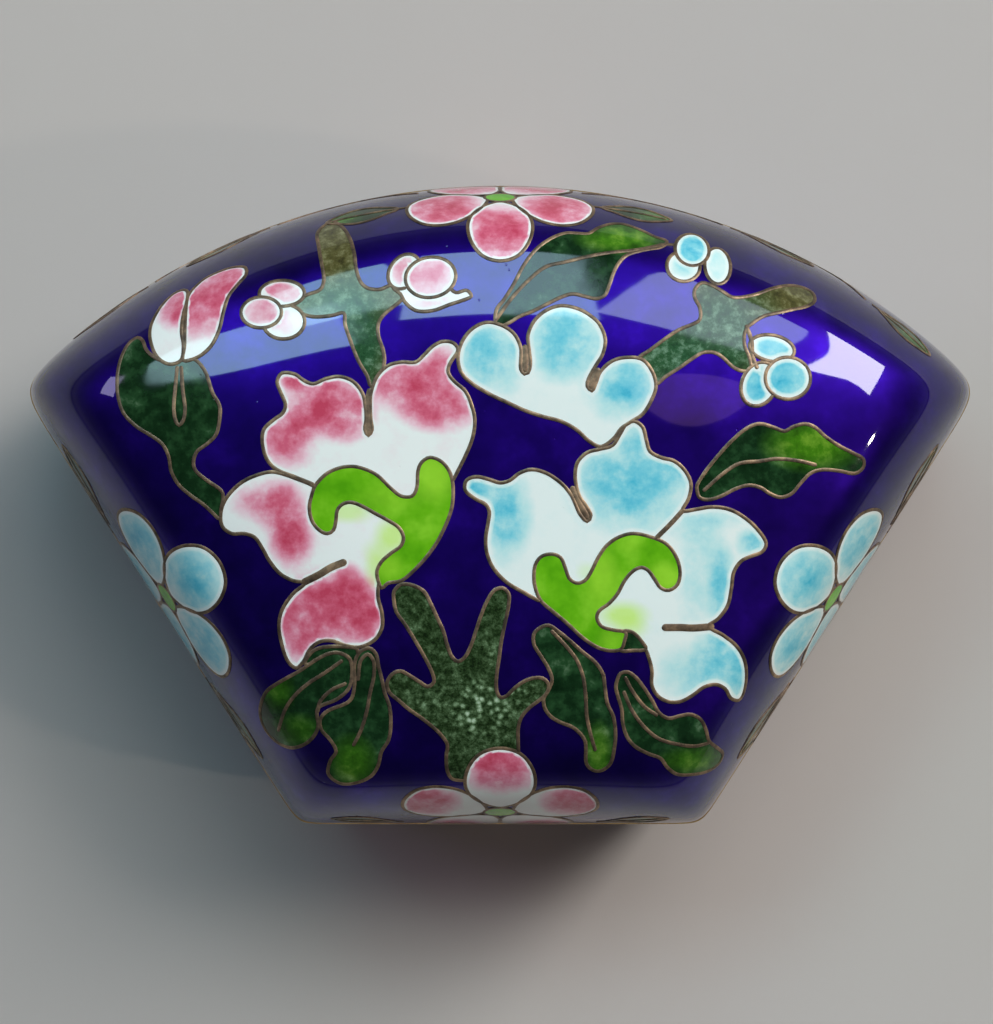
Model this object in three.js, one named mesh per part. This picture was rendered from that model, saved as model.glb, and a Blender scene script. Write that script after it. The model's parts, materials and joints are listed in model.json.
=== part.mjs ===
// A fan-shaped cloisonne enamel box, closed: a domed lid resting on a base, each an enamelled copper
// shell with a brass band soldered round its mouth. Millimetres, +Z up, the straight front towards -Y.
import * as THREE from "three";

// Driving dimensions
const depth = 55.6; // crown of the back arc to the straight front
const arcRadius = 58.6; // back wall, in plan
const sideTilt = THREE.MathUtils.degToRad(32.6); // each side wall off the fore-and-aft line
const sideReach = 29.78; // middle of the plan to the line of each side wall
const height = 38; // whole box, closed
const seam = 19; // top of the base's band, where the lid rests
const bandHeight = 1.3; // each brass band
const bandProud = 0.3; // brass outside the enamel
const bandChamfer = 0.3; // softened edges of the bands
const wall = 2; // copper with enamel on both faces
const collarClearance = 0.35; // between the lid's wall and the base's collar
const collarThickness = 0.75;
const collarRise = 2.6; // of the collar inside the lid
const cornerSoftness = 1; // how round the plan's two back corners are at the mouth
const frontSoftness = 0.45; // and its two front corners, which are tighter
const cornerSoftening = 0.3; // how fast they grow rounder towards the middle
const shoulderReach = 7; // plan width of the lid's rolled shoulder
const shoulderPower = 2.3; // 2 is an ellipse, more is squarer
const lidCrown = 5; // rise of the lid inside its shoulder
const footReach = 6; // plan width of the base's rolled lower edge
const footPower = 3.2;
const summit = new THREE.Vector2(0, 2.2); // deepest point of the plan, under the top of the dome

// Plan of the box

const arcCentreY = depth / 2 - arcRadius;

// Distances of a point of the plan from the back, the front and the two sides, positive inside.
function wallDistances(x, y) {
  const across = x * Math.cos(sideTilt);
  const along = y * Math.sin(sideTilt);
  return [
    arcRadius - Math.hypot(x, y - arcCentreY),
    y + depth / 2,
    sideReach - across + along,
    sideReach + across + along,
  ];
}

// The least of some distances, rounded off where two of them are nearly equal.
function blended(distances, softness) {
  return -softness * Math.log(distances.reduce((total, d) => total + Math.exp(-d / softness), 0));
}

// How far inside the fan a point lies, with the corners blended: zero on the edge of the mouth.
function inset(x, y) {
  const [back, front, right, left] = wallDistances(x, y);
  let level = 0;
  for (let pass = 0; pass < 30; pass++) {
    const softening = cornerSoftening * Math.max(level, 0);
    const sides = blended([back, right, left], cornerSoftness + softening);
    level = blended([front, sides], frontSoftness + softening);
  }
  return level;
}

// Directions from the summit, counter-clockwise, closest together towards the four corners.
function fanRays(arcSteps, sideSteps, frontSteps) {
  const cornerTurn = sideTilt + Math.asin((sideReach + arcCentreY * Math.sin(sideTilt)) / arcRadius);
  const onArc = (turn) =>
    new THREE.Vector2(arcRadius * Math.sin(turn), arcCentreY + arcRadius * Math.cos(turn));
  const frontX = (sideReach - (depth / 2) * Math.sin(sideTilt)) / Math.cos(sideTilt);
  const frontRight = new THREE.Vector2(frontX, -depth / 2);
  const frontLeft = new THREE.Vector2(-frontX, -depth / 2);
  const line = (from, to) => (u) => from.clone().lerp(to, u);
  const walls = [
    [arcSteps, (u) => onArc(cornerTurn * (1 - 2 * u))],
    [sideSteps, line(onArc(-cornerTurn), frontLeft)],
    [frontSteps, line(frontLeft, frontRight)],
    [sideSteps, line(frontRight, onArc(cornerTurn))],
  ];
  const rays = [];
  for (const [steps, along] of walls)
    for (let i = 0; i < steps; i++)
      rays.push(along((1 - Math.cos((Math.PI * i) / steps)) / 2).sub(summit).normalize());
  return rays;
}

const rays = fanRays(30, 16, 14);
const deepest = inset(summit.x, summit.y);

// The closed outline, one point on each ray, where the inset has a given value.
function outline(level) {
  return rays.map((ray) => {
    let near = 0;
    let far = depth * 1.2;
    for (let pass = 0; pass < 40; pass++) {
      const middle = (near + far) / 2;
      const p = summit.clone().addScaledVector(ray, middle);
      if (inset(p.x, p.y) > level) near = middle;
      else far = middle;
    }
    return summit.clone().addScaledVector(ray, near);
  });
}

// Profiles: the rise of a rolled edge and of the crown, from 0 to 1, by the inset from the edge

function rolled(level, reach, power) {
  const left = Math.max(0, 1 - Math.max(level, 0) / reach);
  return (1 - left ** power) ** (1 / power);
}

function crowned(level, deep) {
  return 1 - (1 - Math.min(Math.max(level, 0) / deep, 1)) ** 2;
}

// Height above the mouth of a domed surface whose edge lies at a given inset.
function dome(level, edge, rise) {
  const crown = (lidCrown * rise) / (height - seam - bandHeight);
  return (
    (rise - crown) * rolled(level - edge, shoulderReach - edge / 2, shoulderPower) +
    crown * crowned(level - edge, deepest - edge)
  );
}

// Depth under the mouth of a surface with upright walls and a flat bottom.
function well(level, edge, drop) {
  return drop * rolled(level - edge, footReach - edge / 4, footPower);
}

// Meshes

// The faces between two rings of points, given where each ring starts in the list of points.
function strip(from, to) {
  return rays.flatMap((_, i) => {
    const j = (i + 1) % rays.length;
    return [from + i, to + i, to + j, from + i, to + j, from + j];
  });
}

// A closed skin through rings of points: the first ring is closed by a point that faces up, and the
// last one by a point that faces down.
function skin(name, rings, firstMiddle, lastMiddle, material) {
  const points = [...rings.flat(), firstMiddle, lastMiddle];
  const first = points.length - 2;
  const last = points.length - 1;
  const end = first - rays.length;
  const faces = [];
  for (let r = 0; r + 1 < rings.length; r++)
    faces.push(...strip(r * rays.length, (r + 1) * rays.length));
  rays.forEach((_, i) => {
    const j = (i + 1) % rays.length;
    faces.push(first, i, j, last, end + j, end + i);
  });
  return mesh(name, points, faces, material);
}

// A closed ring with the same section all round: pairs of inset and height, from the bottom's outer
// edge to its inner edge, up the inside and down the outside.
function band(name, section, material) {
  const points = section.flatMap(([level, z]) =>
    outline(level).map((p) => new THREE.Vector3(p.x, p.y, z)),
  );
  const faces = section.flatMap((_, s) =>
    strip(s * rays.length, ((s + 1) % section.length) * rays.length),
  );
  return mesh(name, points, faces, material);
}

function mesh(name, points, faces, material) {
  const geometry = new THREE.BufferGeometry().setFromPoints(points);
  geometry.setIndex(faces);
  geometry.computeVertexNormals();
  const made = new THREE.Mesh(geometry, material);
  made.name = name;
  return made;
}

// A hollow shell: its outer surface from the middle to the mouth, the flat edge of the mouth, and
// its inner surface back to the middle. side is 1 for one that rises from its mouth, -1 for a well.
function shell(name, mouth, side, height, thickness, surface, levels, material) {
  const ring = (level, edge, rise) =>
    outline(level).map((p) => new THREE.Vector3(p.x, p.y, mouth + side * surface(level, edge, rise)));
  const middle = (edge, rise) =>
    new THREE.Vector3(summit.x, summit.y, mouth + side * surface(deepest, edge, rise));
  const outer = levels.map((level) => ring(level, 0, height));
  const innerRise = height - thickness;
  const inner = levels.slice().reverse().map((level) => {
    const stretched = thickness + (level * (deepest - thickness)) / deepest;
    return ring(stretched, thickness, innerRise);
  });
  const rings = [...outer, ...inner];
  const ends = [middle(0, height), middle(thickness, innerRise)];
  if (side > 0) return skin(name, rings, ends[0], ends[1], material);
  return skin(name, rings.reverse(), ends[1], ends[0], material);
}

// Materials

const enamel = new THREE.MeshStandardMaterial({ color: 0x20108c, roughness: 0.08, metalness: 0 });
const brass = new THREE.MeshStandardMaterial({ color: 0xa8895a, roughness: 0.35, metalness: 1 });

// Sub-parts

function lidShell() {
  const levels = [16, 12.5, 9.5, 7, 5.2, 3.8, 2.6, 1.7, 1, 0.5, 0.15, 0];
  return shell("lid_shell", seam + bandHeight, 1, height - seam - bandHeight, wall, dome, levels, enamel);
}

function baseShell() {
  const levels = [6, 4.2, 2.9, 1.9, 1.1, 0.5, 0.12, 0];
  return shell("base_shell", seam - bandHeight, -1, seam - bandHeight, wall, well, levels, enamel);
}

function lidRim() {
  const bottom = seam;
  const top = seam + bandHeight;
  return band(
    "lid_rim",
    [
      [bandChamfer - bandProud, bottom],
      [wall, bottom],
      [wall, top],
      [bandChamfer - bandProud, top],
      [-bandProud, top - bandChamfer],
      [-bandProud, bottom + bandChamfer],
    ],
    brass,
  );
}

function baseRim() {
  const bottom = seam - bandHeight;
  const collar = wall + collarClearance;
  return band(
    "base_rim",
    [
      [bandChamfer - bandProud, bottom],
      [collar + collarThickness, bottom],
      [collar + collarThickness, seam + collarRise],
      [collar, seam + collarRise],
      [collar, seam],
      [bandChamfer - bandProud, seam],
      [-bandProud, seam - bandChamfer],
      [-bandProud, bottom + bandChamfer],
    ],
    brass,
  );
}

const box = new THREE.Group();
box.add(baseShell(), baseRim(), lidRim(), lidShell());

export default box;
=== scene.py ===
import json
import math

import bpy
import numpy as np
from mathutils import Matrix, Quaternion, Vector
from mathutils.geometry import delaunay_2d_cdt
from mathutils.kdtree import KDTree

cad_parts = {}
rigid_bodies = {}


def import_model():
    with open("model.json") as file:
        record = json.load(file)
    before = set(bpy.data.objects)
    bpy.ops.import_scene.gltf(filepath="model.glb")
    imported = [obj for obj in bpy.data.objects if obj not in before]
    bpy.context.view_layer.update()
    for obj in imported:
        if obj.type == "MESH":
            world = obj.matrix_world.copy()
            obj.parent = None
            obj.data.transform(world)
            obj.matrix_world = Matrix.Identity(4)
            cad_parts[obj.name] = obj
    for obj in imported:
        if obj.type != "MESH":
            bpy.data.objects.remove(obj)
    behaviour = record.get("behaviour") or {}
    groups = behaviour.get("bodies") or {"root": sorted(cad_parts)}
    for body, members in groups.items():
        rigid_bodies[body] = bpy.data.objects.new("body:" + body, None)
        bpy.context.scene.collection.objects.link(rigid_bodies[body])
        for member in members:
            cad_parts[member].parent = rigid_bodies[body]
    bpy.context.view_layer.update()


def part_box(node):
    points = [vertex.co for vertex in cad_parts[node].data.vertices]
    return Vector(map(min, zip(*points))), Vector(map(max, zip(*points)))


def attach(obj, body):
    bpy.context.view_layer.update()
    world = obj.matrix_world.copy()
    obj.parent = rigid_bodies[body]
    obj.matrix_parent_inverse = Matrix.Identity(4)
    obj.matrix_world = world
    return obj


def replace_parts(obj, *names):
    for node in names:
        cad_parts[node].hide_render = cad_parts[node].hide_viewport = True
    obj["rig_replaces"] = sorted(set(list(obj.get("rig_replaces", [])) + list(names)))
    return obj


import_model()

# --- Lid shell -------------------------------------------------------------------------------------
# Pressed copper, domed like a pillow over a fan-shaped plan, under a ground of transparent cobalt
# enamel. The glass is fired, stoned flush with its wires and polished to a wet gloss.

MM = 0.001
arc_radius = 58.6  # back wall, in plan
side_tilt = math.radians(32.6)  # each side wall, off the fore-and-aft line
side_reach = 29.78  # middle of the plan to the line of each side wall
corner_softness = 1.0  # how round the back corners are at the mouth
front_softness = 0.45  # and the front ones, which are tighter
corner_softening = 0.3  # how fast they grow rounder towards the middle
summit = np.array([0.0, 2.2])  # deepest point of the plan
front_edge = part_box("lid_shell")[0][1] / MM
arc_centre = -front_edge - arc_radius
ground_deep, lining_deep, inner_deep = 1.2, 1.22, 2.0  # through the enamelled copper, from outside


def blended(distances, softness):
    """The least of some distances, rounded off where two of them are nearly equal."""
    return -softness * np.log(sum(np.exp(-distance / softness) for distance in distances))


def inset(x, y):
    """How far inside the fan's edge a point of the plan lies, in millimetres, corners blended."""
    across, along = x * math.cos(side_tilt), y * math.sin(side_tilt)
    back = arc_radius - np.hypot(x, y - arc_centre)
    left, right = side_reach + across + along, side_reach - across + along
    level = np.zeros_like(x)
    for _ in range(20):  # the rounding depends on the answer, which settles in so many passes
        softening = corner_softening * np.maximum(level, 0)
        sides = blended([back, left, right], corner_softness + softening)
        level = blended([y - front_edge, sides], front_softness + softening)
    return level


deepest = float(inset(*summit))


class Form:
    """One half of the box: a surface over the plan that leaves the mouth upwards or downwards."""

    def __init__(self, node, way, reach, power, crown, tuck):
        low, high = (corner[2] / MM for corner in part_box(node))
        self.node, self.way, self.reach, self.power, self.tuck = node, way, reach, power, tuck
        self.mouth, self.height, self.crown = (low if way > 0 else high), high - low, crown

    def rise(self, level, deep=0.0):
        """Height off the mouth at an inset, for the surface that lies so deep under the outer one."""
        run = np.maximum(level - deep, 0)
        left = np.clip(1 - run / (self.reach - deep * self.tuck), 0, 1)
        height = self.height - deep
        crown = self.crown * height / self.height
        rolled = (1 - left**self.power) ** (1 / self.power)
        crowned = 1 - (1 - np.clip(run / (deepest - deep), 0, 1)) ** 2
        return (height - crown) * rolled + crown * crowned

    def surface(self, plan, lift=0.0, deep=0.0):
        """Points on the surface over points of the plan, lifted off it, and its outward normals."""
        x, y = np.asarray(plan, float).T
        step = 0.0005
        level = np.maximum(inset(x, y), deep)
        slope = (self.rise(level + step, deep) - self.rise(level, deep)) / step
        toward_x = (inset(x + step, y) - inset(x - step, y)) / (2 * step)
        toward_y = (inset(x, y + step) - inset(x, y - step)) / (2 * step)
        normals = np.stack([-slope * toward_x, -slope * toward_y, np.full_like(x, self.way)], axis=1)
        normals /= np.linalg.norm(normals, axis=1, keepdims=True)
        points = np.stack([x, y, self.mouth + self.way * self.rise(level, deep)], axis=1)
        return points + normals * lift, normals

    def climb(self, deep=0.0):
        """A table of ways up the surface from the mouth, and the insets they lead to."""
        roll_steps, dome_steps = 600, 300
        turn = np.linspace(0, math.pi / 2, roll_steps)
        reach = self.reach - deep * self.tuck
        rolled = reach * (1 - np.cos(turn) ** (2 / self.power))
        levels = deep + np.concatenate([rolled, np.linspace(reach, deepest - deep, dome_steps)[1:]])
        run = np.hypot(np.diff(levels), np.diff(self.rise(levels, deep)))
        return np.concatenate([[0], np.cumsum(run)]), levels


def fan_rays(arc_steps, side_steps, front_steps):
    """Directions from the summit to points round the fan's edge, closest together at its corners."""
    sine, cosine = math.sin(side_tilt), math.cos(side_tilt)
    corner_turn = side_tilt + math.asin((side_reach + arc_centre * sine) / arc_radius)
    front_corner = np.array([(side_reach + front_edge * sine) / cosine, front_edge])
    mirror = np.array([-1, 1])

    def on_arc(turn):
        return np.array([arc_radius * math.sin(turn), arc_centre + arc_radius * math.cos(turn)])

    back_corner = on_arc(corner_turn)
    walls = [
        (arc_steps, lambda u: on_arc(corner_turn * (1 - 2 * u))),
        (side_steps, lambda u: mirror * (back_corner * (1 - u) + front_corner * u)),
        (front_steps, lambda u: front_corner * [2 * u - 1, 1]),
        (side_steps, lambda u: front_corner * (1 - u) + back_corner * u),
    ]
    ends, evenness = [], 0.35
    for steps, along_wall in walls:
        for i in range(steps):
            even = i / steps
            bunched = (1 - math.cos(math.pi * even)) / 2
            ends.append(along_wall(evenness * even + (1 - evenness) * bunched))
    rays = np.array(ends) - summit
    return rays / np.linalg.norm(rays, axis=1, keepdims=True)


rays = fan_rays(arc_steps=120, side_steps=64, front_steps=56)


def rings(levels, beyond=60.0, halvings=26):
    """Where each ray crosses each inset, found by halving, as plan points by ring and ray."""
    levels = np.asarray(levels, float)[:, None]
    near, far = np.zeros((len(levels), len(rays))), np.full((len(levels), len(rays)), beyond)
    for _ in range(halvings):
        middle = (near + far) / 2
        inside = inset(summit[0] + rays[:, 0] * middle, summit[1] + rays[:, 1] * middle) > levels
        near, far = np.where(inside, middle, near), np.where(inside, far, middle)
    return summit + rays * near[:, :, None]


def strips(ring_count, closed=False):
    """Quads between rings of ray points that follow each other in a vertex list."""
    count = len(rays)
    ray = np.arange(count)
    after = (ray + 1) % count
    faces = []
    for ring in range(ring_count if closed else ring_count - 1):
        a = ring * count
        b = (ring + 1) % ring_count * count
        faces += np.stack([a + ray, a + after, b + after, b + ray], axis=1).tolist()
    return faces


def outward(points, faces):
    """The faces of a closed mesh, all turned over if its volume shows that they point inwards."""
    volume = 0.0
    for face in faces:
        for b, c in zip(face[1:-1], face[2:]):
            volume += np.dot(points[face[0]], np.cross(points[b], points[c]))
    return faces if volume > 0 else [face[::-1] for face in faces]


def make_piece(name, points, faces, node, material, exact=None):
    """A mesh piece that stands for a node, from points in millimetres, with exact normals where given."""
    mesh = bpy.data.meshes.new(name)
    mesh.from_pydata((np.asarray(points) * MM).tolist(), [], faces)
    mesh.shade_smooth()
    mesh.set_sharp_from_angle(angle=math.radians(40))
    if exact is not None:
        mesh.normals_split_custom_set(exact)
    mesh.materials.append(material)
    piece = bpy.data.objects.new(name, mesh)
    bpy.context.collection.objects.link(piece)
    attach(piece, "root")
    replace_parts(piece, node)
    return piece


def make_shell(name, form, deeps, material):
    """A layer of a shell between two depths, the outer one first, closed at the mouth."""
    fine, coarse, last_ring = 0.4, 0.9, 0.985
    sides = []
    for deep, spacing in zip(deeps, (fine, coarse)):
        ups, levels = form.climb(deep)
        stations = np.interp(np.arange(0, ups[-1] * last_ring, spacing), ups, levels)
        side = form.surface(rings(stations).reshape(-1, 2), deep=deep)[0]
        side[:len(rays), 2] = form.mouth
        sides.append(side)
    outer, inner = sides
    middles = [form.surface([summit], deep=deep)[0][0] for deep in deeps]
    outer = outer.reshape(-1, len(rays), 3)[::-1].reshape(-1, 3)
    points = np.vstack([outer, inner, middles])
    count, last = len(rays), len(points)
    faces = strips((last - 2) // count)
    end = last - 2 - count
    for i in range(count):
        j = (i + 1) % count
        faces.append([last - 2, j, i])
        faces.append([last - 1, end + i, end + j])
    return make_piece(name, points, outward(points, faces), form.node, material)


def linear(hex_colour):
    """An sRGB hex colour as the linear values that a shader takes."""
    channels = [int(hex_colour[i:i + 2], 16) / 255 for i in (1, 3, 5)]
    return [c / 12.92 if c <= 0.04045 else ((c + 0.055) / 1.055) ** 2.4 for c in channels] + [1.0]


def add(tree, kind, inputs=None, stops=(), out=0, **settings):
    """Adds a node and gives its output. Inputs take values or outputs; stops are for a colour ramp."""
    node = tree.nodes.new("ShaderNode" + kind)
    for key, value in settings.items():
        setattr(node, key, value)
    for key, value in (inputs or {}).items():
        if isinstance(value, bpy.types.NodeSocket):
            tree.links.new(value, node.inputs[key])
        else:
            node.inputs[key].default_value = value
    for index, (place, colour) in enumerate(stops):
        elements = node.color_ramp.elements
        element = elements[index] if index < len(elements) else elements.new(place)
        element.position = place
        element.color = linear(colour)
    return node.outputs[out]


def new_material(name, metallic=0.0, ior=1.52):
    """A material with its plain values set, its node tree, its shader, and the place on it in mm."""
    material = bpy.data.materials.new(name)
    material.use_nodes = True
    tree = material.node_tree
    shader = tree.nodes["Principled BSDF"]
    shader.inputs["Metallic"].default_value = metallic
    if not metallic:
        shader.inputs["IOR"].default_value = ior
    place = tree.nodes.new("ShaderNodeTexCoord").outputs["Object"]
    place = add(tree, "VectorMath", {0: place, "Scale": 1 / MM}, operation="SCALE")
    return material, tree, shader, place


def handle(tree, shader, place, grain, keenest, dullest, pattern=None):
    """Roughness in patches of a size in mm, from a keen polish to a dull smear, and a patterned colour."""
    if pattern is not None:
        tree.links.new(pattern, shader.inputs["Base Color"])
    smears = add(tree, "TexNoise", {"Vector": place, "Scale": 1 / grain, "Detail": 5.0, "Roughness": 0.65})
    rubbed = add(tree, "MapRange", {"Value": smears, "From Min": 0.35, "From Max": 0.65,
                                    "To Min": keenest, "To Max": dullest})
    tree.links.new(rubbed, shader.inputs["Roughness"])


def stone(tree, shader, place):
    """The skin of enamel stoned by hand: faint waves 6 mm across, and a pinhole here and there."""
    wave = add(tree, "TexNoise", {"Vector": place, "Scale": 1 / 6, "Detail": 1.0})
    wavy = add(tree, "Bump", {"Height": wave, "Strength": 0.3, "Distance": 0.05 * MM})
    pores = add(tree, "TexVoronoi", {"Vector": place, "Scale": 1 / 2.2})
    pit = add(tree, "MapRange", {"Value": pores, "From Min": 0.02, "From Max": 0.05})
    pitted = add(tree, "Bump", {"Height": pit, "Normal": wavy, "Strength": 0.4, "Distance": 0.03 * MM})
    tree.links.new(pitted, shader.inputs["Normal"])
    tree.links.new(pitted, shader.inputs["Coat Normal"])


# Cobalt glass over bright copper: the metal under it gives it a glow toward the light and leaves it
# nearly black away from it, under the clear gloss of the stoned surface.
cobalt, tree, shader, place = new_material("transparent_cobalt_enamel", metallic=0.88)
shader.inputs["Coat Weight"].default_value = 1.0
shader.inputs["Specular Tint"].default_value = linear("#2a1470")
shader.inputs["Coat Roughness"].default_value = 0.035
shader.inputs["Coat IOR"].default_value = 1.6
pools = add(tree, "TexNoise", {"Vector": place, "Scale": 1 / 5, "Detail": 4.0, "Roughness": 0.6})
depth = add(tree, "ValToRGB", {"Fac": pools}, [(0.30, "#1c0762"), (0.55, "#260a7c"), (0.75, "#330f9c")])
handle(tree, shader, place, 3.0, 0.36, 0.44, depth)
stone(tree, shader, place)

lid = Form("lid_shell", way=1, reach=7.0, power=2.3, crown=5.0, tuck=0.5)
make_shell("lid_ground", lid, (0.0, ground_deep), cobalt)

# --- Base shell ------------------------------------------------------------------------------------
# The lower half, a straight-sided pan with a flat foot, pressed, enamelled and stoned as the lid is.

base = Form("base_shell", way=-1, reach=6.0, power=3.2, crown=0.0, tuck=0.25)
make_shell("base_ground", base, (0.0, ground_deep), cobalt)

# --- Linings ---------------------------------------------------------------------------------------
# Counter enamel, fired inside both halves so that the copper doesn't warp: an opaque pale turquoise,
# brushed on thin as wet powder, with the faint orange peel of a glaze that was never stoned.

# Glossy, opaque and slightly uneven, a little darker where the powder lay thinner over the copper.
counter, tree, shader, place = new_material("opaque_counter_enamel")
brushed = add(tree, "TexNoise", {"Vector": place, "Scale": 1 / 3, "Detail": 5.0, "Roughness": 0.65})
shade = add(tree, "ValToRGB", {"Fac": brushed}, [(0.32, "#4fa9ad"), (0.5, "#63bcbe"), (0.7, "#77c9c8")])
handle(tree, shader, place, 2.0, 0.08, 0.22, shade)
peel = add(tree, "TexNoise", {"Vector": place, "Scale": 1 / 1.2, "Detail": 2.0})
peeled = add(tree, "Bump", {"Height": peel, "Strength": 0.4, "Distance": 0.06 * MM})
tree.links.new(peeled, shader.inputs["Normal"])

make_shell("lid_lining", lid, (lining_deep, inner_deep), counter)
make_shell("base_lining", base, (lining_deep, inner_deep), counter)

# --- Rims ------------------------------------------------------------------------------------------
# Rolled brass bands soldered round both mouths, their outer edges rubbed round. The base's band also
# carries the thin collar that the lid drops over.


def make_band(name, section, node):
    """A brass band from its section: pairs of inset and height, anticlockwise round the metal."""
    levels, heights = np.array(section).T
    plan = rings(levels)
    points = np.dstack([plan, np.broadcast_to(heights[:, None], plan.shape[:2])]).reshape(-1, 3)
    faces = outward(points, strips(len(section), closed=True))
    return make_piece(name, points, faces, node, brass)


def rounded(outer, low, high, radius):
    """The outer edge of a band's section from its top to its bottom, with two rounded corners."""
    edge = []
    for centre, start in ((high - radius, 90), (low + radius, 180)):
        for turn in range(0, 91, 18):
            angle = math.radians(start + turn)
            edge.append((outer + radius + radius * math.cos(angle), centre + radius * math.sin(angle)))
    return edge


# Warm, a little dull from handling: fine draw lines along the band, darker spots of old tarnish.
brass, tree, shader, place = new_material("worn_brass", metallic=1.0)
handled = add(tree, "TexNoise", {"Vector": place, "Scale": 1 / 2.5, "Detail": 6.0, "Roughness": 0.7})
tarnish = add(tree, "ValToRGB", {"Fac": handled}, [(0.35, "#8a6b3f"), (0.5, "#b3935c"), (0.68, "#c9ab73")])
handle(tree, shader, place, 1.5, 0.26, 0.48, tarnish)
drawn = add(tree, "Mapping", {"Vector": place, "Scale": (1.0, 1.0, 14.0)})
lines = add(tree, "TexNoise", {"Vector": drawn, "Scale": 1.2, "Detail": 3.0})
scored = add(tree, "Bump", {"Height": lines, "Strength": 0.3, "Distance": 0.02 * MM})
tree.links.new(scored, shader.inputs["Normal"])

proud, worn_edge = -0.3, 0.35
rim_low, rim_high = (corner[2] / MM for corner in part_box("lid_rim"))
lid_section = [(inner_deep, rim_low), (inner_deep, rim_high)] + rounded(proud, rim_low, rim_high, worn_edge)
make_band("lid_rim_band", lid_section, "lid_rim")
band_low, collar_top = (corner[2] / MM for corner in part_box("base_rim"))
collar_out, collar_in, ease = 2.35, 3.1, 0.2
base_section = rounded(proud, band_low, rim_low, worn_edge) + [
    (collar_in, band_low), (collar_in, collar_top - ease), (collar_in - ease, collar_top),
    (collar_out + ease, collar_top), (collar_out, collar_top - ease), (collar_out, rim_low),
]
make_band("base_rim_band", base_section, "base_rim")

# --- Pink flower -----------------------------------------------------------------------------------
# The first of the two big blossoms: cells walled with copper wire and filled with wet enamel powder.
# Crimson is laid over white inside each petal and feathered out, so the firing leaves it mottled.

cells = []
bare_wires = []
cell_wire = 0.3  # width of the wire round a cell, and along a vein


def smooth(points, closed=True, spacing=0.25):
    """A smooth line through points, as a maker bends wire round a drawing."""
    knots = np.array(points, float)
    if closed:
        knots = np.vstack([knots[-1:], knots, knots[:2]])
    else:
        knots = np.vstack([2 * knots[0] - knots[1], knots, 2 * knots[-1] - knots[-2]])
    line = []
    for a, b, c, d in zip(knots, knots[1:], knots[2:], knots[3:]):
        before, here, after = (np.linalg.norm(q - p) for p, q in ((a, b), (b, c), (c, d)))
        leaving = (c - a) * here / (before + here)
        arriving = (d - b) * here / (here + after)
        u = np.arange(max(1, round(here / spacing)))[:, None] / max(1, round(here / spacing))
        line.append((2 * u**3 - 3 * u**2 + 1) * b + (u**3 - 2 * u**2 + u) * leaving
                    + (3 * u**2 - 2 * u**3) * c + (u**3 - u**2) * arriving)
    if not closed:
        line.append(knots[-2:-1])
    return np.vstack(line)


def inside(outline, points):
    """Which points lie inside a closed line."""
    x, y = points.T[:, :, None]
    ax, ay = outline.T
    bx, by = np.roll(outline, -1, axis=0).T
    with np.errstate(divide="ignore", invalid="ignore"):
        crossing = ((ay > y) != (by > y)) & (x < (bx - ax) * (y - ay) / (by - ay) + ax)
    return crossing.sum(axis=1) % 2 == 1


def slab(outline, chart, lift, thick=0.25, grid=0.35):
    """A thin closed slab of glass inside an outline: points, faces, normals, and places on the chart."""
    low, high = outline.min(axis=0), outline.max(axis=0)
    across, along = np.meshgrid(np.arange(low[0], high[0], grid), np.arange(low[1], high[1], grid))
    spots = np.stack([across.ravel(), along.ravel()], axis=1)
    spots = spots[inside(outline, spots)]
    gaps = np.linalg.norm(spots[:, None] - outline, axis=2).min(axis=1)
    spots = np.vstack([outline, spots[gaps > grid * 0.6]])
    ring = list(range(len(outline)))
    flat, _, triangles, *_ = delaunay_2d_cdt([Vector(p) for p in spots], [], [ring], 1, 1e-5)
    flat = np.array([list(p) for p in flat])
    top, normals = chart(flat, lift)
    bottom = chart(flat, lift - thick)[0]
    count = len(flat)
    faces = [list(t) for t in triangles]
    edges = {(t[i], t[(i + 1) % 3]) for t in faces for i in range(3)}
    rim = [(a, b) for a, b in edges if (b, a) not in edges]
    faces += [[count + i for i in reversed(t)] for t in triangles]
    faces += [[b, a, count + a, count + b] for a, b in rim]
    points, unset = np.vstack([top, bottom]), np.zeros_like(normals)
    return points, outward(points, faces), np.vstack([normals, unset]), np.vstack([flat, flat])


def enamel(name, node, outlines, material, chart, tints=(), glints=()):
    """Cells of enamel, one slab for each (layer, outline). Tints are (x, y, radius x, radius y, power) of
    the cell's strong colour, and glints the same of the lime that bleeds into it."""
    layer_step, spot_edge, feather = 0.012, 1.4, 0.9
    points, faces, normals, flats = [], [], [], []
    for layer, outline in outlines:
        line = smooth(outline)
        cells.append((node, chart, layer, line, chart(line, 0.0)[0][:, :2]))
        parts = slab(line, chart, layer_step * layer)
        faces += [[i + sum(map(len, points)) for i in face] for face in parts[1]]
        for store, part in zip((points, normals, flats), (parts[0], parts[2], parts[3])):
            store.append(part)
    points, normals, flats = np.vstack(points), np.vstack(normals), np.vstack(flats)
    exact = [tuple(normals[i]) if len(face) == 3 else (0, 0, 0) for face in faces for i in face]
    piece = make_piece(name, points, faces, node, material, exact)
    for attribute, spots in (("tint", tints), ("glint", glints)):
        clear = np.ones(len(flats))
        for x, y, rx, ry, power in spots:
            away = np.hypot((flats[:, 0] - x) / rx, (flats[:, 1] - y) / ry)
            clear *= 1 - power * np.clip((spot_edge - away) / feather, 0, 1)
        piece.data.attributes.new(attribute, "FLOAT", "POINT").data.foreach_set("value", 1 - clear)
    return piece


def lid_top(flat, lift):
    """The chart of the lid's top: plan points stand for themselves."""
    return lid.surface(flat, lift)


def painted(tree, attribute, plain, strong):
    """One colour that turns into another by an attribute of the mesh."""
    amount = add(tree, "Attribute", out="Fac", attribute_name=attribute)
    return add(tree, "Mix", {0: amount, 6: plain, 7: strong}, out=2, data_type="RGBA")


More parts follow.
